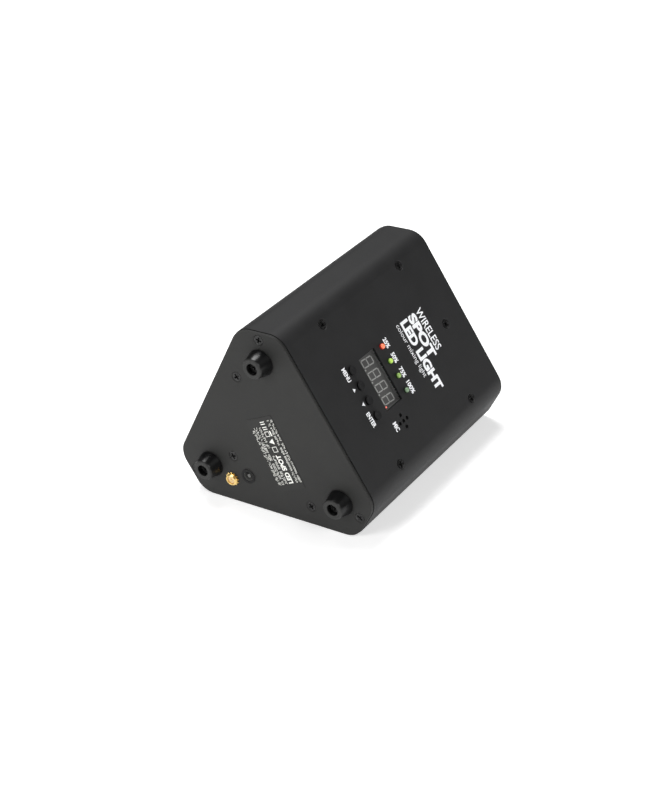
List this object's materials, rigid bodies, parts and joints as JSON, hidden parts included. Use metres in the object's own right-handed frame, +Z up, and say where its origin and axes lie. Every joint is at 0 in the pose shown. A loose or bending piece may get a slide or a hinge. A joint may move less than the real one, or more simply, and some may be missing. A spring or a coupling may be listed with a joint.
{
  "type": "battery led spotlight",
  "caption": "Triangular sheet-metal battery spotlight with rubber feet on its base plate, push buttons and a digit display on one side, and a lens at each corner of its front.",
  "frame": {"origin": "bottom centre of the bounding box, where the lower flat side rests on the surface", "axes": "+Z up; +Y along the body from the base plate with the feet to the front plate with the lenses; +X towards the control panel's side"},
  "size_m": [0.1204, 0.143, 0.1075],
  "materials": {
    "shell_paint": "fine-textured matt black powder coat",
    "plate_paint": "matt black powder coat",
    "front_paint": "matt black powder coat",
    "zinc_sheet": "zinc plated",
    "black_screw": "black oxide",
    "plain_steel": "plain",
    "foot_rubber": "smooth moulded",
    "label_film": "printed black film",
    "gold_plate": "gold plated",
    "coax_jacket": "satin",
    "green_board": "solder resist",
    "foam_pad": "foam tape",
    "black_plastic": "moulded",
    "gloss_black": "polished",
    "button_black": "satin",
    "display_face": "smoked",
    "red_wire": "insulated wire",
    "black_wire": "insulated wire",
    "grey_wire": "insulated wire",
    "yellow_wire": "insulated wire",
    "white_nylon": "moulded",
    "led_red": "lit epoxy",
    "led_green": "lit epoxy",
    "led_dim": "epoxy",
    "mic_can": "satin",
    "cell_wrap": "blue film over steel can",
    "pack_sleeve": "shrunk film",
    "bare_aluminium": "extruded",
    "white_board": "white solder resist",
    "emitter": "phosphor and silicone",
    "clear_lens": "polished acrylic",
    "gasket_rubber": "foam rubber"
  },
  "bodies": {
    "body": {"housing_shell": "shell_paint", "base_plate": "plate_paint", "front_plate": "front_paint", "corner_bracket_top": "zinc_sheet", "corner_bracket_right": "zinc_sheet", "corner_bracket_left": "zinc_sheet", "side_screws": "black_screw", "plate_screws": "black_screw", "foot_top": "foot_rubber", "foot_right": "foot_rubber", "foot_left": "foot_rubber", "foot_screws": "black_screw", "foot_washers": "black_screw", "foot_nuts": "plain_steel", "rating_label": "label_film", "antenna_jack": "gold_plate", "antenna_star_washer": "gold_plate", "antenna_nut": "gold_plate", "antenna_pigtail": "coax_jacket", "receiver_board": "green_board", "receiver_pad": "foam_pad", "charge_jack": "gloss_black", "charge_jack_nut": "plain_steel", "charge_leads": "red_wire", "switch_housing": "black_plastic", "switch_leads": "black_wire", "control_board": "green_board", "control_board_posts": "plain_steel", "control_board_screws": "plain_steel", "control_cable": "grey_wire", "display_module": "display_face", "tact_switches": "black_plastic", "level_led_25": "led_red", "level_led_50": "led_green", "level_led_75": "led_green", "level_led_100": "led_dim", "microphone": "mic_can", "main_board": "green_board", "main_board_posts": "white_nylon", "battery_cells": "cell_wrap", "battery_sleeve": "pack_sleeve", "battery_cradle": "black_plastic", "battery_cap": "black_plastic", "battery_leads": "red_wire", "led_carrier": "zinc_sheet", "heat_sink": "bare_aluminium", "led_board": "white_board", "led_emitters": "emitter", "led_leads": "yellow_wire", "lens_top": "clear_lens", "lens_right": "clear_lens", "lens_left": "clear_lens", "lens_holder": "black_plastic", "lens_gaskets": "gasket_rubber"},
    "menu_button": {"menu_button": "button_black"},
    "up_button": {"up_button": "button_black"},
    "down_button": {"down_button": "button_black"},
    "enter_button": {"enter_button": "button_black"},
    "rocker": {"power_rocker": "gloss_black"}
  },
  "joints": [
    {"name": "menu_press", "type": "slide", "parent": "body", "child": "menu_button", "axis": [-0.866, 0, -0.5], "range_m": [0, 0.0006], "stiffness_N_per_m": 400, "springref_m": -0.0015},
    {"name": "up_press", "type": "slide", "parent": "body", "child": "up_button", "axis": [-0.866, 0, -0.5], "range_m": [0, 0.0006], "stiffness_N_per_m": 400, "springref_m": -0.0015},
    {"name": "down_press", "type": "slide", "parent": "body", "child": "down_button", "axis": [-0.866, 0, -0.5], "range_m": [0, 0.0006], "stiffness_N_per_m": 400, "springref_m": -0.0015},
    {"name": "enter_press", "type": "slide", "parent": "body", "child": "enter_button", "axis": [-0.866, 0, -0.5], "range_m": [0, 0.0006], "stiffness_N_per_m": 400, "springref_m": -0.0015},
    {"name": "power_rock", "type": "hinge", "parent": "body", "child": "rocker", "pos_m": [-0.03741, -0.0275, 0.0648], "axis": [-0.5, 0, -0.866], "range_deg": [0, 18]}
  ]
}
